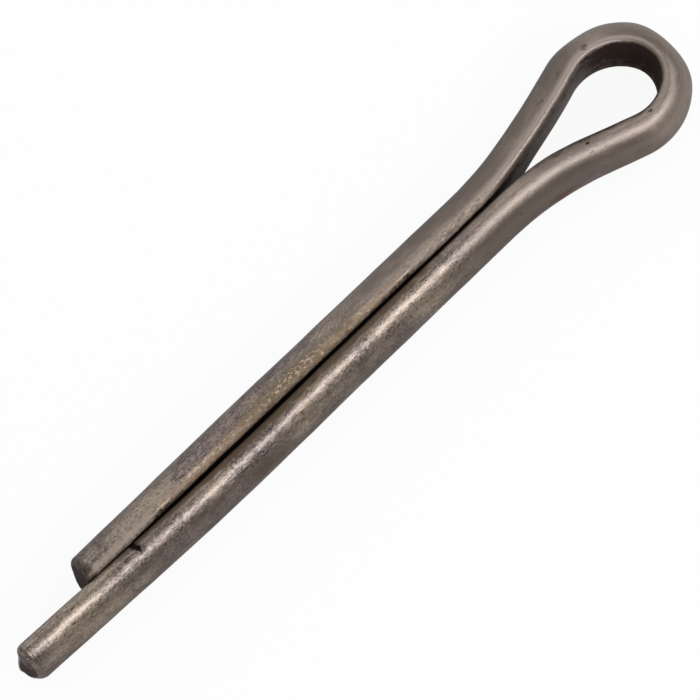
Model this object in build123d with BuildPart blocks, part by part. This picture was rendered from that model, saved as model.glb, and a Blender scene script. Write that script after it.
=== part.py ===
from build123d import *
import math
import os

# Cotter pin: one half-round steel wire bent double, flat face inward, with an open eye and two unequal legs.
# The pin lies in the XY plane. The origin is on the shank axis, where the short leg begins to part under the eye.
# +X runs along the legs to their ends, +Z is square to the plane of the eye.

# Shank: two straight legs side by side, whose round faces lie on one cylinder
shank_diameter = 6.14
leg_gap = 0.44
short_leg_length = 45.8
long_leg_overhang = 8.3

# Rounding of the wire where its flat meets its round
wire_edge_radius = 0.6

# Ends: cut aslant, so the round is shorter than the flat, with the rim bevelled
end_slant = 0.65
end_bevel_length = 0.6
end_bevel_depth = 0.35

# The long leg's end leans a little towards the short leg
lean_start = 34.5
lean_radius = 100.0
lean_angle = 1.9

# Shoulders, where the legs curve apart under the eye
shoulder_radius = 30.8
short_shoulder_angle = 10.0

# Flank of the short leg, slightly bowed
flank_radius = 81.0
flank_angle = 6.8

# Eye, as three bends from the short leg's side to the long leg's side
eye_first_radius = 4.6
eye_first_angle = 74.0
eye_end_radius = 2.6
eye_end_angle = 65.5
eye_last_radius = 3.71
eye_last_angle = 76.3

# Flattened places round the eye: each one's middle and reach as shares of the bends, and the thickness share lost
flattened_shares = ((0.15, 0.15, 0.055), (0.54, 0.155, 0.133))
eye_section_count = 24

# Derived sizes
half_turn_angle = 180.0
shank_radius = shank_diameter / 2
flat_offset = leg_gap / 2
wire_thickness = shank_radius - flat_offset
round_angle = math.degrees(math.acos(flat_offset / shank_radius))
long_leg_length = short_leg_length + long_leg_overhang
eye_angle = eye_first_angle + eye_end_angle + eye_last_angle
long_shoulder_angle = eye_angle - short_shoulder_angle - flank_angle - half_turn_angle
up = Vector(0, 0, 1)


class HalfRound(BaseSketchObject):
    """Section of the wire: the flat on the local Y axis, the round towards local +X, both corners rounded.

    The round is centred on the shank axis, half the leg gap behind the flat. Where the wire is flattened,
    the round becomes an ellipse of the same width.
    """

    def __init__(self, thickness_share: float = 1.0, mode: Mode = Mode.ADD):
        centre = (-flat_offset * thickness_share, 0)
        with BuildSketch() as section:
            with BuildLine():
                if thickness_share == 1:
                    rim = CenterArc(centre, shank_radius, -round_angle, arc_size=2 * round_angle)
                else:
                    rim = EllipticalCenterArc(
                        centre, shank_radius * thickness_share, shank_radius, -round_angle, arc_size=2 * round_angle
                    )
                Line(rim @ 1, rim @ 0)
            make_face()
            fillet(section.vertices(), wire_edge_radius)
        super().__init__(section.sketch, rotation=0, align=None, mode=mode)


def eye_thickness_share(place_share: float) -> float:
    """Share of the wire's full thickness at a place round the eye: one less a hollow for each flattened place.

    A hollow follows a squared cosine, which is deepest in its middle and ends smoothly at its reach.
    """
    share_left = 1.0
    for middle_share, reach_share, lost_share in flattened_shares:
        turn = min(1, abs(place_share - middle_share) / reach_share) * math.pi / 2
        share_left -= lost_share * math.cos(turn) ** 2
    return share_left


def square_to(line: Edge | Wire, share: float) -> Plane:
    """Plane square to the wire at a share of a line, with local X pointing out from the flat and local Y up."""
    along = line % share
    return Plane(origin=line @ share, x_dir=up.cross(along), z_dir=along)


# Path of the flat face, from the short leg's end round the eye to the long leg's end
with BuildLine() as flat_path:
    short_leg = Line((short_leg_length, -flat_offset), (0, -flat_offset))
    short_shoulder = JernArc(short_leg @ 1, short_leg % 1, shoulder_radius, short_shoulder_angle)
    short_flank = JernArc(short_shoulder @ 1, short_shoulder % 1, flank_radius, flank_angle)
    eye_first = JernArc(short_flank @ 1, short_flank % 1, eye_first_radius, -eye_first_angle)
    eye_end = JernArc(eye_first @ 1, eye_first % 1, eye_end_radius, -eye_end_angle)
    eye_last = JernArc(eye_end @ 1, eye_end % 1, eye_last_radius, -eye_last_angle)

    # The straight flank brings the wire back to the long leg's own side of the gap
    shoulder_rise = shoulder_radius * (1 - math.cos(math.radians(long_shoulder_angle)))
    flank_rise = (eye_last @ 1).Y - flat_offset - shoulder_rise
    flank_length = flank_rise / math.sin(math.radians(long_shoulder_angle))
    long_flank = PolarLine(eye_last @ 1, flank_length, direction=eye_last % 1)
    long_shoulder = JernArc(long_flank @ 1, long_flank % 1, shoulder_radius, long_shoulder_angle)
    long_leg = Line(long_shoulder @ 1, (lean_start, flat_offset))
    lean = JernArc(long_leg @ 1, long_leg % 1, lean_radius, -lean_angle)
    tip_length = (long_leg_length - (lean @ 1).X) / math.cos(math.radians(lean_angle))
    long_tip = PolarLine(lean @ 1, tip_length, direction=lean % 1)

eye_path = Wire([eye_first, eye_end, eye_last])

with BuildPart() as cotter_pin:
    # The two free ends: straight runs cut aslant, from the end of the flat back to the round
    for run, end_share in ((short_leg, 0), (long_tip, 1)):
        with BuildSketch(square_to(run, 0)):
            HalfRound()
        extrude(amount=run.length)
        end = square_to(run, end_share)
        outward = end.z_dir * (2 * end_share - 1)
        slant = Plane(origin=end.origin, x_dir=outward, z_dir=outward.cross(end.x_dir))
        with BuildSketch(slant):
            with BuildLine():
                Polyline(
                    (end_slant, -wire_thickness),
                    (-2 * end_slant, 2 * wire_thickness),
                    (end_slant, 2 * wire_thickness),
                    close=True,
                )
            make_face()
        extrude(amount=shank_diameter, both=True, mode=Mode.SUBTRACT)
        end_middle = slant.from_local_coords((-end_slant / 2, wire_thickness / 2))
        end_face = cotter_pin.faces().sort_by_distance(end_middle)[0]
        chamfer(end_face.edges(), end_bevel_depth, end_bevel_length, reference=end_face)

    # The other straight runs
    for run in (long_flank, long_leg):
        with BuildSketch(square_to(run, 0)):
            HalfRound()
        extrude(amount=run.length)

    # Bends of full thickness
    for bend in (short_shoulder, short_flank, long_shoulder, lean):
        with BuildSketch(square_to(bend, 0)):
            HalfRound()
        sweep(path=bend)

    # Eye, flattened at its tight end
    for section_number in range(eye_section_count + 1):
        place_share = section_number / eye_section_count
        with BuildSketch(square_to(eye_path, place_share)):
            HalfRound(eye_thickness_share(place_share))
    loft()

cotter_pin.part.label = "cotter_pin"

os.makedirs("parts", exist_ok=True)
export_step(cotter_pin.part, "parts/cotter_pin.step")
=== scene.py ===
"""Cotter pin on a plain pale floor: one half-round steel wire bent double, dressed as drawn steel.

The wire is a half-round profile carried along a path of tangent bends. Every point is worked out in
whole arrays from two parameters, the ring along the wire and the place round the profile. Sizes are
in millimetres, in the part's frame.
"""

import logging
import math
from dataclasses import dataclass, field
from enum import Enum

import bpy
import numpy as np
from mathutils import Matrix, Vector


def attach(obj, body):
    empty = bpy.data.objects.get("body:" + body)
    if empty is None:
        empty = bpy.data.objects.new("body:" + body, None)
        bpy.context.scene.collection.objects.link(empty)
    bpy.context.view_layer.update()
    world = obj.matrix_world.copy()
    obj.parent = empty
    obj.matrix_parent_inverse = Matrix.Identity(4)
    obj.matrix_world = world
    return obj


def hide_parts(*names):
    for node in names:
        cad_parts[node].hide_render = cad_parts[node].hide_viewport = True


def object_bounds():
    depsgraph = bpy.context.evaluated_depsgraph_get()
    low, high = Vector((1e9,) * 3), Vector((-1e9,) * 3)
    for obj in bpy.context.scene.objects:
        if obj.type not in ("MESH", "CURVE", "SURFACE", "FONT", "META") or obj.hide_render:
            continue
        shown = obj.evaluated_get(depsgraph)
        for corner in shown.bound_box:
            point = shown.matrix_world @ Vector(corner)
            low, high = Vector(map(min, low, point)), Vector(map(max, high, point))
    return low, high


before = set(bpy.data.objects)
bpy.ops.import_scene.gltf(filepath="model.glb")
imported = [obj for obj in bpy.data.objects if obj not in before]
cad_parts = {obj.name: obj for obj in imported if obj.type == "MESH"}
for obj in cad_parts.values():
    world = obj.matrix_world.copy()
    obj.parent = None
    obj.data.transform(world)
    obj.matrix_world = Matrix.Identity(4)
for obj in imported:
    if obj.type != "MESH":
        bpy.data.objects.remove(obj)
CAD_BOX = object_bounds()

log = logging.getLogger("cotter_pin")
MM = 0.001
HALF_TURN = 180.0

# The sRGB curve: straight up to a limit, and past it a power of the shifted value
SRGB_LIMIT, SRGB_SLOPE, SRGB_SHIFT, SRGB_POWER = 0.04045, 12.92, 0.055, 2.4

# The Mix node's colour sockets, by number, because its other sockets share their names
MIX_FIRST, MIX_SECOND, MIX_RESULT = 6, 7, 2


def linear_colour(code: str) -> tuple[float, float, float, float]:
    """Turns an sRGB hex colour into linear light.

    Args:
        code: The colour as "#rrggbb".

    Returns:
        Linear red, green and blue, and an alpha of one.
    """
    parts = np.array([int(code[i : i + 2], 16) for i in (1, 3, 5)]) / 255
    curved = ((parts + SRGB_SHIFT) / (1 + SRGB_SHIFT)) ** SRGB_POWER
    return (*np.where(parts <= SRGB_LIMIT, parts / SRGB_SLOPE, curved).tolist(), 1.0)


def add_node(
    tree: bpy.types.NodeTree, kind: str, settings: dict, inputs: dict, output: str | int = 0
) -> bpy.types.NodeSocket | None:
    """Adds one node with its settings and links.

    Args:
        tree: The node tree that gets the node.
        kind: The node's type name.
        settings: Properties of the node by name.
        inputs: For each socket, by name or number, a value or the output socket to link.
        output: The output to hand back, by name or number.

    Returns:
        The chosen output socket, or None for a node without outputs.
    """
    node = tree.nodes.new(kind)
    for name, value in settings.items():
        setattr(node, name, value)
    for socket, value in inputs.items():
        if isinstance(value, bpy.types.NodeSocket):
            tree.links.new(value, node.inputs[socket])
        else:
            node.inputs[socket].default_value = value
    return node.outputs[output] if node.outputs else None


def smooth_step(
    value: np.ndarray, low: float | np.ndarray, high: float | np.ndarray
) -> np.ndarray:
    """Rises smoothly from 0 at low to 1 at high, as 3t^2 - 2t^3."""
    t = np.clip((value - low) / (high - low), 0, 1)
    return t * t * (3 - 2 * t)


@dataclass(frozen=True)
class Span:
    """A smooth change between two values, from a first share at the start to a last at the end."""

    start: float
    end: float
    first: float = 0.0
    last: float = 1.0

    def share(self, value: np.ndarray) -> np.ndarray:
        """The share at each value."""
        return self.first + (self.last - self.first) * smooth_step(value, self.start, self.end)


class Soil(Enum):
    """What lies on the steel in a patch, or the shade, highlight and reflection painted on it,
    named as the mesh attribute that carries it.
    """

    OLIVE = "olive_stain"
    BROWN = "brown_stain"
    RUST = "rust"
    DUST = "seam_dust"
    PALE = "pale_dust"
    EVEN = "even_steel"
    TINT = "dark_tint"
    PAINTED_SHEEN = "painted_sheen"
    SCALE = "mill_scale_and_painted_shade"
    DARK = "dark_mark"


class Pattern(Enum):
    """Random patterns of the steel: a cell's length and width in millimetres, detail, roughness.

    The lines and the grain are finer on real wire, and are drawn as coarse as they need to show.
    """

    LINES = (0.9, 0.10, 2.0, 0.6)
    GRAIN = (0.28, 0.17, 3.0, 0.7)
    PITS = (0.38, 0.24, 2.0, 0.6)
    BLOTCHES = (1.1, 0.62, 4.0, 0.65)
    PATCHES = (7.0, 3.5, 4.0, 0.6)


class Stretch(Enum):
    """Stretches of the wire's path that places are counted from, by number along the wire.

    The eye has three bends, and is named for its last.
    """

    SHORT_LEG = 0
    SHORT_SHOULDER = 1
    SHORT_FLANK = 2
    EYE = 5
    LONG_FLANK = 6
    LONG_SHOULDER = 7
    TIP = 10


@dataclass(frozen=True)
class WirePath:
    """Line of the wire's flat in the plane of the eye, from the short leg's end to the long leg's.

    Each stretch is straight or has an even curvature, so the heading rises evenly along it, and the
    place is the running sum of the heading's direction. The heading is blurred a little, as a bent
    wire has no sudden change of curvature.
    """

    flat_offset: float = 0.22
    short_leg_length: float = 45.8
    long_leg_length: float = 54.04
    shoulder_radius: float = 30.8
    short_shoulder_angle: float = 10.0
    flank_radius: float = 81.0
    flank_angle: float = 6.8
    eye_radii: tuple[float, float, float] = (4.6, 2.6, 3.71)
    eye_angles: tuple[float, float, float] = (74.0, 65.5, 76.3)
    lean_start: float = 34.0
    lean_radius: float = 100.0
    lean_angle: float = 1.9
    # Step of the running sum, the blur of the heading, and where the blur is cut off in blurs
    step: float = 0.02
    blur: float = 0.3
    blur_reach: float = 4.0
    # Slow bow of each leg: place from the leg's end, reach along it, and how far it stands out
    short_bow: tuple[float, float, float] = (17.8, 15.0, 0.09)
    long_bow: tuple[float, float, float] = (27.0, 8.0, 0.065)

    def stretches(self) -> tuple[np.ndarray, np.ndarray]:
        """Works out the stretches of the path.

        Returns:
            The length of each stretch and its curvature, positive where the line turns left.
        """
        eye_angle = sum(self.eye_angles)
        long_shoulder = eye_angle - self.short_shoulder_angle - self.flank_angle - HALF_TURN
        bends = (-angle for angle in self.eye_angles)
        turn = np.radians([0, self.short_shoulder_angle, self.flank_angle, *bends])
        radii = np.array([self.shoulder_radius, self.flank_radius, *self.eye_radii])
        heading = math.pi + np.concatenate([[0], np.cumsum(turn)])
        bend = np.sign(turn[1:]) / radii
        rise = np.sum((np.cos(heading[1:-1]) - np.cos(heading[2:])) / bend)
        run = np.sum((np.sin(heading[2:]) - np.sin(heading[1:-1])) / bend)
        # The straight flank brings the line back to the long leg's side of the gap
        slope = math.radians(long_shoulder)
        shoulder_rise = self.shoulder_radius * (1 - math.cos(slope))
        flank = (rise - 2 * self.flat_offset - shoulder_rise) / math.sin(slope)
        leg_start = run + flank * math.cos(slope) + self.shoulder_radius * math.sin(slope)
        lean = math.radians(self.lean_angle)
        tip_start = self.lean_start + self.lean_radius * math.sin(lean)
        tip = (self.long_leg_length - tip_start) / math.cos(lean)
        lengths = [self.short_leg_length, *np.abs(turn[1:]) * radii]
        lengths += [flank, self.shoulder_radius * slope]
        lengths += [self.lean_start - leg_start, self.lean_radius * lean, tip]
        curvatures = [0, *bend, 0, 1 / self.shoulder_radius, 0, -1 / self.lean_radius, 0]
        return np.array(lengths), np.array(curvatures)

    @property
    def length(self) -> float:
        """Whole length of the wire along its flat."""
        return float(np.sum(self.stretches()[0]))

    def end_of(self, stretch: Stretch) -> float:
        """Where a stretch ends along the wire."""
        return float(np.cumsum(self.stretches()[0])[stretch.value])

    def line(self) -> tuple[np.ndarray, np.ndarray, np.ndarray, np.ndarray]:
        """Works out the path at even steps, without the bows.

        Returns:
            Lengths along the wire, and the line's X, Y and heading there.
        """
        lengths, curvatures = self.stretches()
        ends = np.concatenate([[0], np.cumsum(lengths)])
        turned = np.concatenate([[0], np.cumsum(lengths * curvatures)])
        along = np.arange(0, lengths.sum() + self.step, self.step)
        steps = int(self.blur_reach * self.blur / self.step)
        reach = np.arange(-steps, steps + 1) * self.step
        kernel = np.exp(-((reach / self.blur) ** 2) / 2)
        padded = np.concatenate([along[0] + reach[:steps], along, along[-1] + reach[-steps:]])
        bent = np.interp(padded, ends, turned)
        heading = math.pi + np.convolve(bent, kernel / kernel.sum(), mode="valid")
        direction = np.stack([np.cos(heading), np.sin(heading)])
        moves = (direction[:, 1:] + direction[:, :-1]) / 2 * self.step
        x = self.short_leg_length + np.concatenate([[0], np.cumsum(moves[0])])
        y = -self.flat_offset + np.concatenate([[0], np.cumsum(moves[1])])
        return along, x, y, heading

    def places(self, along: np.ndarray) -> tuple[np.ndarray, np.ndarray, np.ndarray]:
        """Finds points of the path.

        Each leg's bow is a bell of the distance from the leg's end, square to the heading.

        Args:
            along: Lengths along the wire, of any shape. Outside the wire the path runs on straight.

        Returns:
            The points' X and Y, and the heading there.
        """
        total = self.length
        line, x, y, heading = self.line()
        inside = np.clip(along, 0, total)
        over = along - inside
        turn = np.interp(inside, line, heading)
        bow = np.zeros_like(inside)
        for distance, leg_bow in ((inside, self.short_bow), (total - inside, self.long_bow)):
            middle, reach, height = leg_bow
            bow += height * np.exp(-(((distance - middle) / reach) ** 2))
        x_out = np.interp(inside, line, x) + over * np.cos(turn) - bow * np.sin(turn)
        y_out = np.interp(inside, line, y) + over * np.sin(turn) + bow * np.cos(turn)
        return x_out, y_out, turn


@dataclass(frozen=True)
class Zone:
    """A part of the wire's length, which comes in between two places and goes between two more.

    Each place is a stretch of the path and a length past that stretch's end.
    """

    comes: tuple[tuple[Stretch, float], tuple[Stretch, float]] | None = None
    goes: tuple[tuple[Stretch, float], tuple[Stretch, float]] | None = None

    def share(self, path: WirePath, along: np.ndarray) -> np.ndarray:
        """Works out the zone's share along the wire: a smooth step in, less a smooth step out.

        Args:
            path: The wire's path.
            along: Lengths along the wire.

        Returns:
            One inside the zone and none outside, with the steps between.
        """
        share = np.ones_like(along)
        if self.comes:
            share *= smooth_step(along, *(path.end_of(end) + past for end, past in self.comes))
        if self.goes:
            share *= 1 - smooth_step(along, *(path.end_of(end) + past for end, past in self.goes))
        return share


# The eye and its shoulders, between the two straight legs
EYE_ZONE = Zone(
    ((Stretch.SHORT_LEG, -4), (Stretch.SHORT_SHOULDER, 0)),
    ((Stretch.LONG_FLANK, 0), (Stretch.LONG_SHOULDER, 4)),
)


@dataclass(frozen=True)
class WireProfile:
    """Half-round section: a flat, and a round centred on the shank axis, with rounded corners.

    Out is measured from the flat. Going round, the outline climbs the flat, turns over the upper
    corner, comes down the round and turns back under the lower corner.
    """

    shank_radius: float = 3.07
    flat_offset: float = 0.22
    edge_radius: float = 0.6
    flat_points: int = 20
    edge_points: int = 9
    round_points: int = 58

    @property
    def thickness(self) -> float:
        """From the flat to the top of the round."""
        return self.shank_radius - self.flat_offset

    def outline(self) -> np.ndarray:
        """Works out the outline: each point is its arc's centre plus the radius along its facing.

        Returns:
            An array of four rows: out, height, and the outward direction's out and height parts.
        """
        corner = self.shank_radius - self.edge_radius
        edge_out = self.edge_radius
        edge_height = math.sqrt(corner**2 - (edge_out + self.flat_offset) ** 2)
        meet = math.atan2(edge_height, edge_out + self.flat_offset)
        climb = np.linspace(-edge_height, edge_height, self.flat_points, endpoint=False)
        over = np.linspace(math.pi, meet, self.edge_points, endpoint=False)
        down = np.linspace(meet, -meet, self.round_points, endpoint=False)
        under = np.linspace(-meet, -math.pi, self.edge_points, endpoint=False)
        angle = np.concatenate([np.full(climb.shape, math.pi), over, down, under])
        counts = [self.flat_points, self.edge_points, self.round_points, self.edge_points]
        centre_out = np.repeat([edge_out, edge_out, -self.flat_offset, edge_out], counts)
        centre_height = np.repeat([0, edge_height, 0, -edge_height], counts)
        centre_height[: self.flat_points] = climb
        radius = np.repeat([edge_out, edge_out, self.shank_radius, edge_out], counts)
        facing = np.stack([np.cos(angle), np.sin(angle)])
        facing[1, : self.flat_points] = 0
        out, height = centre_out + radius * facing[0], centre_height + radius * facing[1]
        return np.stack([out, height, *facing])


@dataclass(frozen=True)
class CutEnd:
    """A sheared end.

    The cut leans back towards the round and the top, its rim is rolled over and its face is torn.
    """

    slant: float
    slant_power: float
    tilt: float
    rim_length: float
    rim_depth: float
    flat_rim_share: float
    tear: float
    tilt_start: float = -1.6
    reach: float = 4.0
    # Waves of the tearing: turn per millimetre of height and of distance out, start, and size
    tear_waves: tuple[tuple[float, float, float, float], ...] = (
        (2.3, 1.7, 0.0, 1.0),
        (-1.3, 5.1, 1.0, 0.7),
        (9.7, 4.3, 2.0, 0.35),
    )
    # Where the rim grows to its full size, by how far the outline faces out from the flat
    rim_growth: Span = Span(-1.0, -0.2)

    def rim_share(self, facing_out: np.ndarray) -> np.ndarray:
        """Share of the rim's size round the outline: its own on the flat, full on the round."""
        return self.flat_rim_share + (1 - self.flat_rim_share) * self.rim_growth.share(facing_out)

    def setback(self, out: np.ndarray, height: np.ndarray, thickness: float) -> np.ndarray:
        """Works out how far the cut lies behind the wire's very end.

        The cut leans as a power of the distance from the flat and evenly with height, and the
        tearing is a sum of waves across the face.

        Args:
            out: Distance from the flat.
            height: Height above the wire's middle.
            thickness: The wire's thickness.

        Returns:
            The distance back along the wire.
        """
        lean = self.slant * np.clip(out / thickness, 0, 1) ** self.slant_power
        tilt = self.tilt * np.clip(height - self.tilt_start, 0, None)
        torn = sum(
            size * np.sin(up * height + through * out + start)
            for up, through, start, size in self.tear_waves
        )
        return lean + tilt + self.tear * (torn + 1)


@dataclass
class WireGrid:
    """Every point of the plain wire before wear moves it, in arrays over rings and outline points.

    It holds each point's place along the wire, distance out from the flat and height above the
    wire's middle, each ring's share of the full outline, and the outline's outward direction.
    """

    path: WirePath
    place: np.ndarray
    out: np.ndarray
    height: np.ndarray
    cover: np.ndarray
    facing_out: np.ndarray
    facing_height: np.ndarray
    # Worked out from these: the path's points and heading, the facing towards the seam, which
    # points are on the wire's side and not on a cut end's face, and the points in the part's frame
    x: np.ndarray = field(init=False)
    y: np.ndarray = field(init=False)
    heading: np.ndarray = field(init=False)
    inward: np.ndarray = field(init=False)
    on_side: np.ndarray = field(init=False)
    plain: np.ndarray = field(init=False)

    def __post_init__(self) -> None:
        """Works out what follows from the given arrays."""
        self.x, self.y, self.heading = self.path.places(self.place)
        self.inward = -self.facing_out
        self.on_side = self.cover == 1
        self.plain = self.points(0.0)

    def points(self, rise: float | np.ndarray) -> np.ndarray:
        """Works out the points in the part's frame.

        A point is its place on the path, plus its distance out square to the heading, plus its
        height, each with its part of the rise.

        Args:
            rise: How far each point moves along its outward direction.

        Returns:
            X, Y and Z in the last axis.
        """
        stand = self.out + rise * self.facing_out
        x = self.x - stand * np.sin(self.heading)
        y = self.y + stand * np.cos(self.heading)
        return np.stack([x, y, self.height + rise * self.facing_height], -1)

    def within(self, zone: Zone) -> np.ndarray:
        """Share of a zone at every point."""
        return zone.share(self.path, self.place)

    def nearest(self, point: tuple[float, float, float]) -> tuple[int, int]:
        """Ring and outline point nearest to a point in the part's frame."""
        near = np.argmin(np.sum((self.plain - np.array(point)) ** 2, -1))
        return np.unravel_index(near, self.place.shape)

    def bell(self, spot: tuple[int, int], length: float, width: float) -> np.ndarray:
        """Works out a bell, the exponential of minus the squared distance along and across.

        Args:
            spot: Ring and outline point of its middle.
            length: Its reach along the wire.
            width: Its reach across the wire.

        Returns:
            One at the middle, falling to none.
        """
        apart = ((self.place - self.place[spot]) / length) ** 2
        across = (self.out - self.out[spot]) ** 2 + (self.height - self.height[spot]) ** 2
        return np.exp(-(apart + across / width**2))


@dataclass(frozen=True)
class Mark:
    """A small mark on the wire: a dent, nick, scratch or spot, by a point near it."""

    point: tuple[float, float, float]
    length: float
    width: float
    depth: float
    dark: float


@dataclass(frozen=True)
class Patch:
    """A broad stain on the wire, by a point near its middle."""

    soil: Soil
    point: tuple[float, float, float]
    length: float
    width: float
    strength: float


MARKS = (
    # Nick across the long leg's inner edge, from the seam outward; its dark is painted shade in the
    # notch
    Mark((40.98, 0.06, 2.55), 0.24, 0.30, 0.20, 1.2),
    Mark((40.92, 0.32, 2.84), 0.26, 0.30, 0.30, 1.2),
    Mark((40.84, 0.74, 2.93), 0.25, 0.26, 0.22, 1.2),
    Mark((40.72, 1.02, 2.90), 0.16, 0.20, 0.10, 1.0),
    # Dark spots and a scratch round the eye
    Mark((-16.95, -4.05, 2.84), 0.30, 0.20, 0.01, 0.50),
    Mark((-16.50, -3.75, 2.90), 0.24, 0.16, 0.01, 0.50),
    Mark((-16.45, 4.10, 2.97), 0.30, 0.15, 0.05, 0.9),
    Mark((-17.00, 4.50, 2.85), 0.22, 0.12, 0.02, 0.6),
    Mark((-10.56, 2.36, 2.96), 0.26, 0.15, 0.02, 0.85),
    Mark((-19.90, 5.36, 1.00), 0.22, 0.26, 0.04, 0.45),
    # Spots by the long leg's end
    Mark((51.54, 1.15, 2.58), 0.18, 0.14, 0.012, 0.7),
    Mark((48.93, 1.45, 2.43), 0.30, 0.14, 0.012, 0.7),
    Mark((47.85, 1.73, 2.22), 0.34, 0.18, 0.03, 0.45),
    # Spots on the shoulders and the short leg
    Mark((-2.54, 2.61, 1.67), 0.30, 0.20, 0.03, 0.4),
    Mark((1.81, -1.02, 2.89), 0.22, 0.10, 0.04, 0.6),
    Mark((4.56, -1.36, 2.75), 0.30, 0.10, 0.04, 0.6),
    Mark((28.60, -0.80, 2.94), 0.50, 0.10, 0.05, 0.6),
    Mark((22.50, -2.40, 1.92), 0.60, 0.24, 0.02, 0.4),
)

PATCHES = (
    # Olive staining beside the seam
    Patch(Soil.OLIVE, (22.0, -0.90, 2.90), 11.0, 1.15, 1.0),
    Patch(Soil.OLIVE, (35.0, -0.80, 2.92), 5.0, 0.9, 0.3),
    Patch(Soil.OLIVE, (24.0, 0.60, 2.92), 11.0, 0.75, 0.9),
    Patch(Soil.OLIVE, (40.0, 0.80, 2.92), 6.0, 0.7, 0.6),
    # Brown staining on the long leg and the upper arm of the eye
    Patch(Soil.BROWN, (36.0, 0.40, 2.90), 8.0, 0.8, 0.55),
    Patch(Soil.BROWN, (12.0, 0.40, 2.90), 8.0, 0.7, 0.35),
    Patch(Soil.BROWN, (28.0, 2.70, 1.20), 3.2, 1.1, 0.75),
    Patch(Soil.BROWN, (33.5, 2.30, 2.00), 3.5, 0.8, 0.5),
    Patch(Soil.BROWN, (-11.0, -3.70, 2.40), 4.0, 0.9, 0.35),
    Patch(Soil.BROWN, (-16.75, -3.92, 2.86), 0.45, 0.32, 0.95),
    # Rust on the lower shoulder
    Patch(Soil.RUST, (-6.6, 3.60, 0.30), 2.0, 0.9, 1.0),
    Patch(Soil.RUST, (-3.6, 3.20, 0.40), 2.2, 0.7, 0.6),
    Patch(Soil.RUST, (-10.1, 4.50, 0.90), 1.6, 0.7, 0.4),
)


@dataclass(frozen=True)
class Wear:
    """What drawing, shearing and handling left in the wire's shape."""

    # Slow unevenness of the drawn wire: length of a wave, waves round the profile, and height
    waves: tuple[tuple[float, int, float], ...] = (
        (17.0, 1, 0.008),
        (9.3, 2, 0.006),
        (6.1, 3, 0.005),
        (3.7, 2, 0.003),
        (2.3, 4, 0.002),
    )
    wave_starts: tuple[float, float] = (0.0, 6.28)
    wave_drop: float = 0.6
    # A surface that faces up or down by more than this isn't raised by the waves
    level_facing: float = 0.9
    marks: tuple[Mark, ...] = MARKS
    mark_darkening: Span = Span(0.15, 0.7)
    pit_count: int = 110
    pit_sizes: tuple[float, float] = (0.12, 0.22)
    pit_depths: tuple[float, float] = (0.006, 0.020)
    pit_stretch: float = 1.6
    pit_darkness: float = 25.0
    pit_darkening: Span = Span(0.4, 0.9)
    # Fine groove round the long leg's end, by its distance from the end
    groove_place: float = 0.92
    groove_width: float = 0.11
    groove_depth: float = 0.04
    groove_darkness: float = 0.45
    groove_round: Span = Span(-0.6, 0.2)
    # Sharper edge by the seam's start: place and reach along the wire, height, and side up or down
    sharp_edges: tuple[tuple[float, float, float, int], ...] = (
        (50.5, 3.5, 0.24, -1),
        (83.5, 4.5, 0.24, 1),
    )
    # No point rises past this height, which is just inside the solid's own
    top_height: float = 2.924
    least_facing: float = 0.05
    seed: int = 7

    def waviness(self, grid: WireGrid, draw: np.random.Generator) -> np.ndarray:
        """Works out the slow waves, each a sine of the place along and the turn round the wire.

        Args:
            grid: The plain wire.
            draw: Random numbers, for where the waves start.

        Returns:
            How far each point rises.
        """
        turn = np.linspace(0, 2 * math.pi, grid.place.shape[1], endpoint=False)[None, :]
        rise = np.zeros_like(grid.place)
        for length, count, size in self.waves:
            start = draw.uniform(*self.wave_starts)
            wave = np.sin(2 * math.pi * grid.place / length + count * turn + start)
            rise += size * (wave - self.wave_drop)
        level = np.abs(grid.facing_height) > self.level_facing
        return np.where(level, np.minimum(rise, 0), rise)

    def dents(self, grid: WireGrid, draw: np.random.Generator) -> tuple[np.ndarray, np.ndarray]:
        """Works out the marks and the random pits, each a bell about its place.

        Args:
            grid: The plain wire.
            draw: Random numbers, for the pits.

        Returns:
            How deep each point lies, and how dark it is.
        """
        depth, dark = np.zeros_like(grid.place), np.zeros_like(grid.place)
        for mark in self.marks:
            shape = grid.bell(grid.nearest(mark.point), mark.length, mark.width)
            depth += mark.depth * shape
            dark = np.maximum(dark, mark.dark * self.mark_darkening.share(shape))
        rings, spots = grid.place.shape
        for _ in range(self.pit_count):
            spot = draw.integers(0, rings), draw.integers(0, spots)
            size, deep = draw.uniform(*self.pit_sizes), draw.uniform(*self.pit_depths)
            shape = grid.bell(spot, self.pit_stretch * size, size)
            depth += deep * shape
            dark = np.maximum(dark, self.pit_darkness * deep * self.pit_darkening.share(shape))
        return depth, dark

    def groove(self, grid: WireGrid) -> np.ndarray:
        """Share of the groove's depth, a bell of the distance from its place, on the round."""
        apart = (grid.path.length - grid.place - self.groove_place) / self.groove_width
        return np.exp(-(apart**2)) * self.groove_round.share(grid.facing_out)

    def sharpness(self, grid: WireGrid) -> np.ndarray:
        """Works out how far the inner edges stand out by the seam's start.

        Round the profile it is the squared sine of double the facing angle, which is largest midway
        between the flat and the side, and along the wire a bell.

        Args:
            grid: The plain wire.

        Returns:
            How far each point rises.
        """
        corner = (2 * grid.facing_out * grid.facing_height) ** 2 * (grid.facing_out < 0)
        rise = np.zeros_like(grid.place)
        for middle, reach, size, side in self.sharp_edges:
            bell = np.exp(-(((grid.place - middle) / reach) ** 2))
            rise += size * corner * (side * grid.height > 0) * bell
        return rise

    def shape(self, grid: WireGrid) -> tuple[np.ndarray, np.ndarray]:
        """Puts the wear together.

        Args:
            grid: The plain wire.

        Returns:
            How far each point moves along its outward direction, and how dark it is.
        """
        draw = np.random.default_rng(self.seed)
        rise = self.waviness(grid, draw)
        depth, dark = self.dents(grid, draw)
        groove = self.groove(grid)
        rise += self.sharpness(grid) - depth - self.groove_depth * groove
        facing = np.maximum(np.abs(grid.facing_height), self.least_facing)
        room = np.maximum((self.top_height - np.abs(grid.height)) / facing, 0)
        rise = np.minimum(rise, room) * grid.on_side
        return rise, np.maximum(dark, self.groove_darkness * groove)


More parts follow.
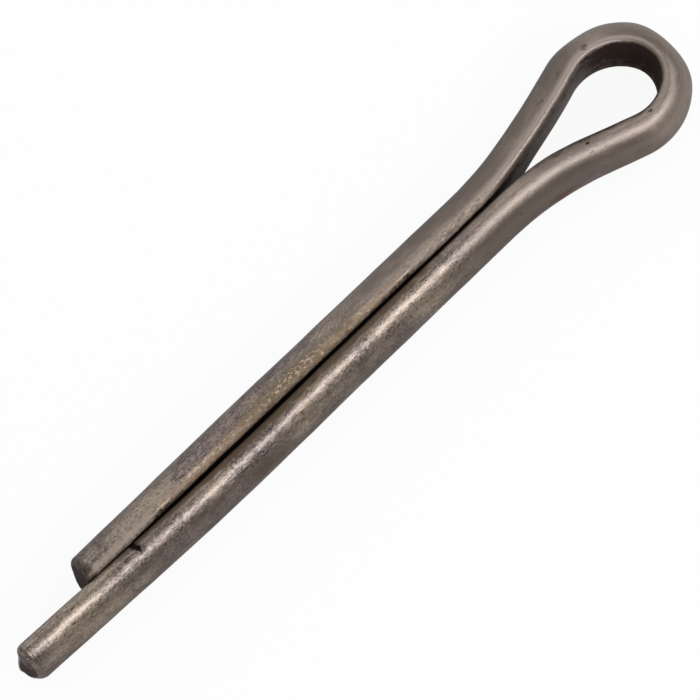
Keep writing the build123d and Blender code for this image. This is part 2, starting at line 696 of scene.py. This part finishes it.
@dataclass(frozen=True)
class Weathering:
    """Where stains, dust, satin steel, scale and painted shade, highlight and reflection lie on the
    wire.

    Each mask is made of smooth shares: of zones along the wire, of X along the legs, and of where
    a point is round the profile, by its height, its distance out from the flat, and its inward
    facing, which is one on the flat, none at the sides and minus one at the top of the round.
    """

    patches: tuple[Patch, ...] = PATCHES
    # Zones along the wire
    short_side: Zone = Zone(goes=((Stretch.SHORT_LEG, 0), (Stretch.SHORT_SHOULDER, 3)))
    long_side: Zone = Zone(comes=((Stretch.LONG_FLANK, 11), (Stretch.LONG_FLANK, 23)))
    long_shoulder: Zone = Zone(comes=((Stretch.LONG_FLANK, 0), (Stretch.LONG_FLANK, 6)))
    long_end: Zone = Zone(comes=((Stretch.SHORT_LEG, 0), (Stretch.TIP, 0)))
    upper_flank: Zone = Zone(comes=((Stretch.SHORT_SHOULDER, 0), (Stretch.SHORT_SHOULDER, 3)))
    past_upper_arm: Zone = Zone(comes=((Stretch.SHORT_FLANK, -1), (Stretch.SHORT_FLANK, 4)))
    lower_arm: Zone = Zone(comes=((Stretch.EYE, -3), (Stretch.EYE, 1)))
    upper_arm: Zone = Zone(
        ((Stretch.SHORT_LEG, -6), (Stretch.SHORT_LEG, 4)),
        ((Stretch.SHORT_FLANK, 4), (Stretch.SHORT_FLANK, 10)),
    )
    satin: Zone = Zone(
        ((Stretch.SHORT_LEG, -26), (Stretch.SHORT_LEG, -2)),
        ((Stretch.LONG_FLANK, 8), (Stretch.LONG_FLANK, 20)),
    )
    # Inner edges of the wire, by inward facing and by height above or below the middle
    edge_facing: Span = Span(-0.66, 0.02)
    edge_height: Span = Span(1.85, 2.2)
    # Dust: from the short leg's end, its tan part along X, and by inward facing
    dust_end: Span = Span(0.3, 1.4)
    tan_start: Span = Span(3, 14)
    tan_stop: Span = Span(33, 40, 1, 0.2)
    dust_thinning: Span = Span(0.0, 0.5, 1, 0.85)
    # Brown along the long leg's edge: by inward facing, and its narrowing and stop along X
    brown_facing: Span = Span(-0.5, 0.05)
    brown_narrowing: Span = Span(29, 36, 0, 0.4)
    brown_stop: Span = Span(39, 50, 1, 0)
    # Dark tint of the satin steel, by distance out and by inward facing
    satin_share: float = 0.8
    tint_upper: Span = Span(0.4, 1.3)
    tint_lower: Span = Span(1.2, 2.0, 0, 0.85)
    tint_lower_edge: Span = Span(-0.4, 0.1, 0, 0.75)
    tint_leg: Span = Span(1.3, 2.2, 0, 0.6)
    # Painted highlight along the upper arm's inner edge, by inward facing, and painted reflection
    # of the floor on the eye's flat, by inward facing and by height
    sheen_edge: Span = Span(-0.6, -0.1)
    floor_reflection_flat: Span = Span(0.6, 0.95)
    floor_reflection_height: Span = Span(-1.5, 0.8, 1, 0)
    # Scale inside the eye, by inward facing and by height, thinned low on the flat as a painted
    # reflection of the floor, and painted shade along the lower arm's inner edge
    scale_flat: Span = Span(0.45, 0.95)
    scale_height: Span = Span(-2.5, 0.5, 0.6, 1)
    scale_arm_height: Span = Span(-1.0, 1.8, 0, 0.5)
    lower_arm_edge_shade: Span = Span(0.1, 0.6, 0, 0.7)
    # Painted shade in the seam, a dark coat on the flats between the legs: its share, the inward
    # facing where it starts, and its stop along X
    seam_shade_share: float = 0.9
    seam_shade_facing: float = 0.7
    seam_shade_short_facing: float = 0.92
    seam_shade_stop: Span = Span(44, 47, 1, 0)
    # Scale on the cut ends: from the short leg's end, on its rim, and by height on the long leg's
    sheared: Span = Span(0.8, 1.5, 1, 0)
    sheared_rim_share: float = 0.6
    torn_height: Span = Span(-1.0, 1.5, 1, 0.65)

    def edges(self, grid: WireGrid) -> np.ndarray:
        """Share of the wire's inner edges, upper and lower."""
        facing = self.edge_facing.share(grid.inward)
        return facing * self.edge_height.share(np.abs(grid.height))

    def lower(self, grid: WireGrid) -> np.ndarray:
        """Share of the eye's lower arm and the satin steel past it."""
        wide = np.maximum(grid.within(EYE_ZONE), grid.within(self.satin))
        return grid.within(self.lower_arm) * wide

    def stains(self, grid: WireGrid) -> dict[Soil, np.ndarray]:
        """Works out the stains, bells about their places and a brown band along the long leg.

        Args:
            grid: The plain wire.

        Returns:
            A mask for each kind of stain.
        """
        kinds = (Soil.OLIVE, Soil.BROWN, Soil.RUST)
        masks = {soil: np.zeros_like(grid.place) for soil in kinds}
        for patch in self.patches:
            shape = grid.bell(grid.nearest(patch.point), patch.length, patch.width)
            masks[patch.soil] = np.maximum(masks[patch.soil], patch.strength * shape)
        band = self.brown_facing.share(grid.inward - self.brown_narrowing.share(grid.x))
        band *= grid.within(self.long_side) * self.brown_stop.share(grid.x)
        masks[Soil.BROWN] = np.maximum(masks[Soil.BROWN], band)
        return masks

    def dust(self, grid: WireGrid) -> dict[Soil, np.ndarray]:
        """Works out the dust on the short leg's inner edges, tan midway and pale at both ends.

        Args:
            grid: The plain wire.

        Returns:
            A mask for each kind of dust.
        """
        layer = self.edges(grid) * grid.within(self.short_side) * grid.on_side
        layer *= self.dust_end.share(grid.place)
        tan = self.tan_start.share(grid.x) * self.tan_stop.share(grid.x)
        thinned = self.dust_thinning.share(grid.inward)
        return {Soil.PALE: layer * (1 - tan), Soil.DUST: layer * tan * thinned}

    def satin_steel_and_sheen(self, grid: WireGrid) -> dict[Soil, np.ndarray]:
        """Works out the satin steel round the eye, tinted outside, with a painted highlight along
        its inner edge and a painted reflection of the floor low on its flat.

        Args:
            grid: The plain wire.

        Returns:
            A mask for the even steel, its dark tint, and the painted highlight and reflection.
        """
        eye, wide = grid.within(EYE_ZONE), grid.within(self.satin)
        before_bend = 1 - grid.within(self.past_upper_arm)
        tint = np.maximum(eye, wide) * before_bend * self.tint_upper.share(grid.out)
        low_edge = self.tint_lower_edge.share(grid.inward)
        tint += self.lower(grid) * (self.tint_lower.share(grid.out) + low_edge)
        tint += grid.within(self.long_shoulder) * self.tint_leg.share(grid.out) * (1 - eye)
        # A pale coat along the upper arm's inner edge: a painted highlight
        sheen = grid.within(self.upper_arm) * self.sheen_edge.share(grid.inward)
        sheen *= grid.facing_height > 0
        # A pale coat low on the eye's flat: a painted reflection of the floor
        flat = self.floor_reflection_height.share(grid.height) * self.floor_reflection_flat.share(grid.inward)
        sheen += flat * eye * before_bend * grid.within(self.upper_flank)
        even = np.maximum(eye, self.satin_share * wide)
        return {Soil.EVEN: even, Soil.TINT: tint, Soil.PAINTED_SHEEN: sheen}

    def scale_and_shade(self, grid: WireGrid) -> dict[Soil, np.ndarray]:
        """Works out the dark scale on the flat inside the eye and on the cut ends, and the painted
        shade in the seam and along the lower arm's inner edge.

        Args:
            grid: The plain wire.

        Returns:
            The mask of the scale and the painted shade.
        """
        eye, on_short = grid.within(EYE_ZONE), grid.within(self.short_side)
        bend = grid.within(self.past_upper_arm)
        # The scale thins towards the bottom of the flat, a painted reflection of the floor
        inside = bend * self.scale_height.share(grid.height)
        inside += (1 - bend) * self.scale_arm_height.share(grid.height)
        inside *= eye * self.scale_flat.share(grid.inward)
        # The lower arm's inner edge is darkened as painted shade
        arm_edge_shade = self.lower(grid) * eye * self.lower_arm_edge_shade.share(grid.inward)
        inside = np.maximum(inside, arm_edge_shade)
        # The dark in the seam is painted shade between the legs
        start = self.seam_shade_facing + (self.seam_shade_short_facing - self.seam_shade_facing) * on_short
        seam = self.seam_shade_share * smooth_step(grid.inward, start, 1.0)
        seam *= (1 - self.edges(grid) * on_short) * (1 - eye) * self.seam_shade_stop.share(grid.x)
        sheared = self.sheared.share(grid.place)
        side = np.maximum(inside + seam, self.sheared_rim_share * sheared)
        torn = grid.within(self.long_end) * self.torn_height.share(grid.height)
        return {Soil.SCALE: np.where(grid.on_side, side, np.maximum(sheared, torn))}

    def masks(self, grid: WireGrid) -> dict[Soil, np.ndarray]:
        """A mask for each kind of soil and painted light but the dark marks."""
        return self.stains(grid) | self.dust(grid) | self.satin_steel_and_sheen(grid) | self.scale_and_shade(grid)


@dataclass(frozen=True)
class Coat:
    """One thin layer on the steel.

    It lies where a random pattern, raised by a mask of the mesh, is over a bound, so its edge is
    ragged. Dullness is how far it hides the metal's gloss.
    """

    colour: str
    pattern: Pattern
    low: float
    high: float
    cover: float
    dullness: float = 0.0
    mask: Soil | None = None


@dataclass(frozen=True)
class DrawnSteel:
    """Plain drawn carbon-steel wire, unplated, dulled by handling.

    Drawing leaves fine lines along the wire and a satin, finely speckled gloss. Thin brown and
    olive staining and dust lie beside the seam, and dark mill scale inside the eye and on the
    sheared ends. The same dark coat is painted shade in the seam and along the lower arm's inner
    edge, and a pale coat paints a highlight along the upper arm's inner edge and the floor's
    reflection low on the eye's flat.
    """

    steel: str = "#786a5d"
    roughness: float = 0.29
    grain_roughness: float = 0.10
    grain_range: tuple[float, float] = (0.3, 0.7)
    soil_roughness: float = 0.55
    soil_metallic: float = -0.9
    # Relief of the grain in millimetres, the bump's strength and the drawing lines' part in it
    relief: float = 0.008
    bump_strength: float = 0.5
    line_relief: float = 0.35
    edge_tint: str = "#cccccc"
    mask_weight: float = 0.6
    coats: tuple[Coat, ...] = (
        # Bare steel: changes of tone, pale and dark blotches, drawing lines and grain
        Coat("#564a49", Pattern.PATCHES, 0.46, 0.56, 0.95),
        Coat("#92826f", Pattern.PATCHES, 0.48, 0.38, 0.80),
        Coat("#918275", Pattern.BLOTCHES, 0.47, 0.66, 0.8),
        Coat("#584b41", Pattern.BLOTCHES, 0.46, 0.32, 0.7),
        Coat("#a5968a", Pattern.LINES, 0.48, 0.70, 0.45),
        Coat("#ab9c90", Pattern.GRAIN, 0.50, 0.68, 0.70),
        Coat("#4f433a", Pattern.GRAIN, 0.47, 0.34, 0.65),
        # Satin steel round the eye, tinted darker outside, and a paler coat that is a painted
        # highlight along the upper arm's inner edge and a painted reflection of the floor low on
        # the eye's flat
        Coat("#8e8074", Pattern.PATCHES, 0.60, 0.95, 0.72, 0.15, Soil.EVEN),
        Coat("#63574e", Pattern.PATCHES, 0.70, 1.05, 0.80, 0.15, Soil.TINT),
        Coat("#9d8f84", Pattern.PATCHES, 0.75, 1.15, 0.9, 0.30, Soil.PAINTED_SHEEN),
        # Dull dust on the short leg's inner edges, with soft blotches, pale flecks and dark grains
        Coat("#a99786", Pattern.GRAIN, 0.72, 1.12, 1.0, 1.0, Soil.PALE),
        Coat("#7c6b5e", Pattern.BLOTCHES, 1.06, 1.20, 0.70, 0.8, Soil.PALE),
        Coat("#d8c9b6", Pattern.PITS, 1.12, 1.26, 0.50, 0.6, Soil.PALE),
        Coat("#4a3b30", Pattern.GRAIN, 1.12, 1.24, 0.70, 0.8, Soil.PALE),
        Coat("#a68d75", Pattern.GRAIN, 0.72, 1.12, 1.0, 1.0, Soil.DUST),
        Coat("#6a5441", Pattern.BLOTCHES, 1.06, 1.20, 0.80, 0.8, Soil.DUST),
        Coat("#d9c8b0", Pattern.PITS, 1.08, 1.22, 0.80, 0.6, Soil.DUST),
        Coat("#43342a", Pattern.GRAIN, 1.17, 1.27, 0.75, 0.8, Soil.DUST),
        # Olive staining with pale flecks and fine pits
        Coat("#75644d", Pattern.BLOTCHES, 0.78, 1.10, 0.85, 0.35, Soil.OLIVE),
        Coat("#cdb797", Pattern.PITS, 1.08, 1.22, 0.75, 0.5, Soil.OLIVE),
        Coat("#2a1e15", Pattern.GRAIN, 1.14, 1.24, 0.7, 0.8, Soil.OLIVE),
        # Brown staining and red-brown rust
        Coat("#4d3d2c", Pattern.BLOTCHES, 0.70, 1.05, 0.85, 0.6, Soil.BROWN),
        Coat("#5c3b2c", Pattern.BLOTCHES, 0.80, 1.10, 0.85, 0.8, Soil.RUST),
        # Dark scale, which in the seam and along the lower arm's inner edge is painted shade, and
        # the bottoms of nicks and spots, where the nick's dark is painted shade
        Coat("#332117", Pattern.BLOTCHES, 0.62, 0.98, 1.0, 1.0, Soil.SCALE),
        Coat("#140e0a", Pattern.GRAIN, 0.72, 0.95, 1.0, 0.0, Soil.DARK),
    )

    def layers(
        self, tree: bpy.types.NodeTree, patterns: dict[Pattern, bpy.types.NodeSocket]
    ) -> tuple[bpy.types.NodeSocket, bpy.types.NodeSocket]:
        """Lays the coats over the steel, each where its pattern and mask pass its bounds.

        Args:
            tree: The material's node tree.
            patterns: The random patterns' values.

        Returns:
            The colour, and how far the soil hides the metal's gloss.
        """
        colour, soil = linear_colour(self.steel), None
        for coat in self.coats:
            height = patterns[coat.pattern]
            if coat.mask:
                settings = {"attribute_name": coat.mask.value}
                mask = add_node(tree, "ShaderNodeAttribute", settings, {}, "Fac")
                inputs = {0: mask, 1: self.mask_weight, 2: height}
                height = add_node(tree, "ShaderNodeMath", {"operation": "MULTIPLY_ADD"}, inputs)
            inputs = {"Value": height, "From Min": coat.low, "From Max": coat.high}
            inputs |= {"To Max": coat.cover}
            share = add_node(tree, "ShaderNodeMapRange", {}, inputs)
            inputs = {0: share, MIX_FIRST: colour, MIX_SECOND: linear_colour(coat.colour)}
            colour = add_node(tree, "ShaderNodeMix", {"data_type": "RGBA"}, inputs, MIX_RESULT)
            if coat.dullness:
                inputs = {0: share, 1: coat.dullness}
                dulled = add_node(tree, "ShaderNodeMath", {"operation": "MULTIPLY"}, inputs)
                if soil:
                    inputs = {0: soil, 1: dulled}
                    dulled = add_node(tree, "ShaderNodeMath", {"operation": "MAXIMUM"}, inputs)
                soil = dulled
        return colour, soil

    def material(self) -> bpy.types.Material:
        """Makes the material.

        Returns:
            The material, which reads the place on the straightened wire from the mesh.
        """
        made = bpy.data.materials.new("drawn_steel_wire")
        made.use_nodes = True
        tree = made.node_tree
        tree.nodes.clear()

        settings = {"attribute_name": "wire_place"}
        place = add_node(tree, "ShaderNodeAttribute", settings, {}, "Vector")
        patterns = {}
        for pattern in Pattern:
            length, width, detail, rough = pattern.value
            inputs = {"Vector": place, "Scale": (1 / length, 1 / width, 1 / width)}
            moved = add_node(tree, "ShaderNodeMapping", {}, inputs)
            inputs = {"Vector": moved, "Scale": 1.0, "Detail": detail, "Roughness": rough}
            patterns[pattern] = add_node(tree, "ShaderNodeTexNoise", {}, inputs, "Fac")
        colour, soil = self.layers(tree, patterns)

        inputs = {0: soil, 1: self.soil_metallic, 2: 1.0}
        metal = add_node(tree, "ShaderNodeMath", {"operation": "MULTIPLY_ADD"}, inputs)
        smoothest = self.roughness - self.grain_roughness / 2
        low, high = self.grain_range
        inputs = {"Value": patterns[Pattern.GRAIN], "From Min": low, "From Max": high}
        inputs |= {"To Min": smoothest, "To Max": smoothest + self.grain_roughness}
        rough = add_node(tree, "ShaderNodeMapRange", {}, inputs)
        inputs = {0: soil, 1: self.soil_roughness, 2: rough}
        rough = add_node(tree, "ShaderNodeMath", {"operation": "MULTIPLY_ADD"}, inputs)
        inputs = {0: patterns[Pattern.LINES], 1: self.line_relief, 2: patterns[Pattern.GRAIN]}
        height = add_node(tree, "ShaderNodeMath", {"operation": "MULTIPLY_ADD"}, inputs)
        inputs = {"Strength": self.bump_strength, "Distance": self.relief * MM, "Height": height}
        bump = add_node(tree, "ShaderNodeBump", {}, inputs)
        inputs = {"Base Color": colour, "Metallic": metal, "Roughness": rough, "Normal": bump}
        inputs |= {"Specular Tint": linear_colour(self.edge_tint)}
        surface = add_node(tree, "ShaderNodeBsdfPrincipled", {}, inputs)
        add_node(tree, "ShaderNodeOutputMaterial", {}, {"Surface": surface})
        return made


@dataclass
class CotterPin:
    """The whole pin: one wire, its two cut ends, its wear and its finish."""

    path: WirePath = field(default_factory=WirePath)
    profile: WireProfile = field(default_factory=WireProfile)
    short_end: CutEnd = CutEnd(
        slant=0.55,
        slant_power=1.3,
        tilt=0.05,
        rim_length=0.60,
        rim_depth=0.38,
        flat_rim_share=0.5,
        tear=0.02,
    )
    long_end: CutEnd = CutEnd(
        slant=0.55,
        slant_power=1.3,
        tilt=0.04,
        rim_length=0.72,
        rim_depth=0.50,
        flat_rim_share=1.0,
        tear=0.025,
    )
    wear: Wear = field(default_factory=Wear)
    weathering: Weathering = field(default_factory=Weathering)
    finish: DrawnSteel = field(default_factory=DrawnSteel)
    # Rings: their spacing, those near an end, on its rolled rim and on its face
    ring_spacing: float = 0.168
    near_reach: float = 2.2
    near_rings: int = 24
    rim_rings: int = 10
    cap_rings: int = 12
    # Distance out from the flat to the middle of an end's face
    cap_middle: float = 1.25
    # Flattened places round the eye: middle and reach as shares of the bends, thickness share lost
    flattened: tuple[tuple[float, float, float], ...] = ((0.15, 0.15, 0.055), (0.54, 0.155, 0.133))
    # How far the flats of the short and the long leg stand out towards the seam
    flat_swell: tuple[float, float] = (0.12, 0.08)

    def rings(self) -> tuple[np.ndarray, np.ndarray, np.ndarray]:
        """Sets out the rings, from the middle of the short end's face to that of the long end's.

        Over a rolled rim the place along the wire follows a sine and the inset a cosine of the same
        turn.

        Returns:
            For each ring and outline point its place along the wire and how far it is drawn in, and
            for each ring its share of the full outline.
        """
        facing_out = self.profile.outline()[2][None, :]
        total = self.path.length
        turn = np.linspace(math.pi / 2, 0, self.rim_rings, endpoint=False)[:, None]
        share = np.linspace(0, 1, self.cap_rings + 1)[1:-1, None]
        run = np.linspace(0, 1, self.near_rings)[:, None]
        places, insets = [], []
        for end in (self.short_end, self.long_end):
            rim = end.rim_share(facing_out)
            length, depth = end.rim_length * rim, end.rim_depth * rim
            face = np.zeros((len(share), rim.shape[1]))
            near = length + (self.near_reach - length) * run
            rolled = depth * (1 - np.cos(turn))
            places.append(np.concatenate([face, length * (1 - np.sin(turn)), near]))
            insets.append(np.concatenate([face + depth, rolled, np.zeros_like(near)]))
        count = int(round((total - 2 * self.near_reach) / self.ring_spacing))
        middle = np.linspace(self.near_reach, total - self.near_reach, count + 1)[1:-1, None]
        middle = np.broadcast_to(middle, (count - 1, facing_out.shape[1]))
        along = np.concatenate([places[0], middle, total - places[1][::-1]])
        inset = np.concatenate([insets[0], np.zeros_like(middle), insets[1][::-1]])
        whole = np.ones((len(along) - 2 * len(share), 1))
        return along, inset, np.concatenate([share, whole, share[::-1]])

    def thickness_share(self, along: np.ndarray) -> np.ndarray:
        """Works out how thick the wire is, less a squared cosine for each flattened place.

        Args:
            along: Lengths along the wire.

        Returns:
            The share of the full thickness.
        """
        start = self.path.end_of(Stretch.SHORT_FLANK)
        place = (along - start) / (self.path.end_of(Stretch.EYE) - start)
        share = np.ones_like(along)
        for middle, reach, loss in self.flattened:
            turn = np.clip(np.abs(place - middle) / reach, 0, 1) * math.pi / 2
            share -= loss * np.cos(turn) ** 2
        return share

    def grid(self) -> WireGrid:
        """Lays out the plain wire.

        The outline is drawn in over the rims, shrunk to the middle of an end's face, thinned round
        the eye, and swollen on the flats of the legs. Near an end the places are drawn back by the
        cut's lean, which fades over the end's reach.

        Returns:
            Every point of the wire.
        """
        along, inset, cover = self.rings()
        outline_out, outline_height, facing_out, facing_height = self.profile.outline()[:, None, :]
        thickness = self.profile.thickness
        height = (outline_height - inset * facing_height) * cover
        out = outline_out - inset * facing_out
        out = self.cap_middle + cover * (out - self.cap_middle)
        out *= self.thickness_share(along)
        on_short = along < self.path.end_of(Stretch.SHORT_FLANK)
        swell = np.where(on_short, *self.flat_swell) * (1 - EYE_ZONE.share(self.path, along))
        out += swell * (out / thickness - 1)

        place = along.copy()
        from_long_end = self.path.length - along
        for end, distance, sign in ((self.short_end, along, 1), (self.long_end, from_long_end, -1)):
            fade = np.clip(1 - distance / end.reach, 0, 1) ** 2
            place += sign * fade * end.setback(out, height, thickness)
        return WireGrid(self.path, place, out, height, cover, facing_out, facing_height)

    def surface(self) -> dict[str, np.ndarray]:
        """Works out the worn surface and what lies on it.

        Returns:
            Arrays over rings and outline points: "point", "wire_place" and one for each soil.
        """
        grid = self.grid()
        rise, dark = self.wear.shape(grid)
        masks = self.weathering.masks(grid) | {Soil.DARK: dark}
        made = {"point": grid.points(rise)}
        made["wire_place"] = np.stack([grid.place, grid.out, grid.height], -1)
        return made | {soil.value: masks[soil] for soil in Soil}

    def build(self) -> bpy.types.Object:
        """Makes the pin's mesh: rings of quads, closed by a fan to a pole at each end.

        Returns:
            The pin's object, at the origin, with its place in its mesh.
        """
        surface = self.surface()
        rings, spots = surface["point"].shape[:2]
        first, last = 0, rings * spots + 1
        number = 1 + np.arange(rings * spots).reshape(rings, spots)
        turned = np.roll(number, -1, axis=1)
        quads = np.stack([number[:-1], number[1:], turned[1:], turned[:-1]], -1).reshape(-1, 4)
        start_fan = np.stack([np.full(spots, first), number[0], turned[0]], -1)
        end_fan = np.stack([number[-1], np.full(spots, last), turned[-1]], -1)

        def closed(values: np.ndarray) -> np.ndarray:
            """The values in a row, with the first and last ring's mean for the two poles."""
            poles = values[[0, -1]].mean(1)
            return np.concatenate([poles[:1], values.reshape(-1, *values.shape[2:]), poles[1:]])

        mesh = bpy.data.meshes.new("cotter_pin_wire")
        faces = start_fan.tolist() + quads.tolist() + end_fan.tolist()
        mesh.from_pydata(closed(surface.pop("point")) * MM, [], faces)
        for name, values in surface.items():
            flat = closed(values).astype(np.float32)
            kind, slot = ("FLOAT_VECTOR", "vector") if flat.ndim > 1 else ("FLOAT", "value")
            mesh.attributes.new(name, kind, "POINT").data.foreach_set(slot, flat.ravel())
        mesh.shade_smooth()
        mesh.update()
        pin = bpy.data.objects.new("cotter_pin_wire", mesh)
        bpy.context.scene.collection.objects.link(pin)
        return pin

    def dress(self, pin: bpy.types.Object) -> None:
        """Gives the pin its finish and sets it on the CAD body.

        Args:
            pin: The pin's object.
        """
        pin.data.materials.append(self.finish.material())
        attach(pin, "root")
        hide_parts("cotter_pin")


@dataclass(frozen=True)
class Lamp:
    """A soft box: direction from the pin, distance, length and width in metres, and power."""

    name: str
    direction: tuple[float, float, float]
    distance: float
    length: float
    width: float
    watts: float


@dataclass
class Studio:
    """Plain pale floor, soft light and the camera. Floor sizes are in metres."""

    floor_height: float
    floor_width: float = 6.0
    floor_colour: str = "#f4f4f4"
    sky_colour: str = "#ffffff"
    lamp_colour: str = "#ebf2ff"
    sky_strength: float = 0.52
    floor_glow: float = 0.92
    lamps: tuple[Lamp, ...] = (
        Lamp("key_strip", (-0.08, 0.71, 0.69), 0.6, 0.66, 0.10, 1.52),
        Lamp("side_strip", (-0.74, 0.34, 0.58), 0.6, 0.46, 0.12, 0.45),
        Lamp("top_panel", (-0.15, -0.30, 0.94), 0.6, 0.70, 0.55, 0.98),
        Lamp("far_panel", (-0.25, -0.93, 0.28), 1.0, 0.90, 0.90, 1.75),
    )
    # Camera: the point it looks at and its distance and lens in millimetres, its elevation in
    # degrees, and its level direction from the pin
    look_at: tuple[float, float, float] = (15.74, 0.35, 0.0)
    camera_distance: float = 458.3
    elevation: float = 71.0
    bearing: tuple[float, float] = (0.712, 0.702)
    lens: float = 282.86
    sensor_width: float = 36.0
    # Nearest and farthest distance that the camera sees, in metres
    sight: tuple[float, float] = (0.01, 20.0)

    def build(self) -> None:
        """Makes the floor, the sky, the lamps and the camera."""
        self.build_floor()
        self.build_sky()
        for lamp in self.lamps:
            self.build_lamp(lamp)
        self.build_camera()

    def build_floor(self) -> None:
        """Lays a wide matt floor under the pin, as a level grid of two parameters."""
        half = self.floor_width / 2
        side = np.linspace(-half, half, 3)
        x, y = np.meshgrid(side, side, indexing="ij")
        points = np.stack([x, y, np.full(x.shape, self.floor_height)], -1).reshape(-1, 3)
        number = np.arange(points.shape[0]).reshape(x.shape)
        corners = [number[:-1, :-1], number[1:, :-1], number[1:, 1:], number[:-1, 1:]]
        faces = np.stack(corners, -1).reshape(-1, 4)
        mesh = bpy.data.meshes.new("floor")
        mesh.from_pydata(points, [], faces.tolist())
        mesh.materials.append(self.floor_paper())
        floor = bpy.data.objects.new("floor", mesh)
        bpy.context.scene.collection.objects.link(floor)

    def floor_paper(self) -> bpy.types.Material:
        """Makes the floor's matt white paper.

        Seen straight, it is mostly plain white, and it keeps a part of the pin's shadow.

        Returns:
            The material.
        """
        made = bpy.data.materials.new("matt_white_floor")
        made.use_nodes = True
        tree = made.node_tree
        tree.nodes.clear()
        inputs = {"Color": linear_colour(self.floor_colour)}
        paper = add_node(tree, "ShaderNodeBsdfDiffuse", {}, inputs)
        inputs = {"Color": linear_colour(self.sky_colour), "Strength": 1.0}
        white = add_node(tree, "ShaderNodeEmission", {}, inputs)
        ray = add_node(tree, "ShaderNodeLightPath", {}, {}, "Is Camera Ray")
        inputs = {0: ray, 1: self.floor_glow}
        share = add_node(tree, "ShaderNodeMath", {"operation": "MULTIPLY"}, inputs)
        shown = add_node(tree, "ShaderNodeMixShader", {}, {0: share, 1: paper, 2: white})
        add_node(tree, "ShaderNodeOutputMaterial", {}, {"Surface": shown})
        return made

    def build_sky(self) -> None:
        """Gives the room an even white light."""
        world = bpy.data.worlds.new("soft_room")
        world.use_nodes = True
        tree = world.node_tree
        tree.nodes.clear()
        inputs = {"Color": linear_colour(self.sky_colour), "Strength": self.sky_strength}
        light = add_node(tree, "ShaderNodeBackground", {}, inputs)
        add_node(tree, "ShaderNodeOutputWorld", {}, {"Surface": light})
        bpy.context.scene.world = world

    def build_lamp(self, lamp: Lamp) -> None:
        """Hangs one soft box, facing the pin.

        Args:
            lamp: The soft box's values.
        """
        data = bpy.data.lights.new(lamp.name, "AREA")
        data.shape = "RECTANGLE"
        data.size, data.size_y = lamp.length, lamp.width
        data.energy = lamp.watts
        data.color = linear_colour(self.lamp_colour)[:3]
        made = bpy.data.objects.new(lamp.name, data)
        away = Vector(lamp.direction).normalized()
        made.location = Vector(self.look_at) * MM + away * lamp.distance
        made.rotation_euler = away.to_track_quat("Z", "Y").to_euler()
        bpy.context.scene.collection.objects.link(made)

    def build_camera(self) -> None:
        """Sets the camera at the photograph's angle."""
        data = bpy.data.cameras.new("camera")
        data.sensor_width = self.sensor_width
        data.lens = self.lens
        data.clip_start, data.clip_end = self.sight
        made = bpy.data.objects.new("camera", data)
        rise = math.radians(self.elevation)
        level = Vector((*self.bearing, 0)).normalized() * math.cos(rise)
        away = level + Vector((0, 0, math.sin(rise)))
        made.location = (Vector(self.look_at) + away * self.camera_distance) * MM
        made.rotation_euler = away.to_track_quat("Z", "Y").to_euler()
        bpy.context.scene.collection.objects.link(made)
        bpy.context.scene.camera = made


def main() -> None:
    """Builds the pin and the studio."""
    logging.basicConfig(level=logging.INFO, format="%(name)s: %(message)s")
    bpy.context.scene.view_settings.view_transform = "Standard"
    cotter_pin = CotterPin()
    pin = cotter_pin.build()
    cotter_pin.dress(pin)
    log.info("%s: %d points, %d faces", pin.name, len(pin.data.vertices), len(pin.data.polygons))
    studio = Studio(floor_height=float(CAD_BOX[0][2]))
    studio.build()
    log.info("studio: floor at %.4f m, %d lamps", studio.floor_height, len(studio.lamps))


if __name__ == "__main__":
    main()
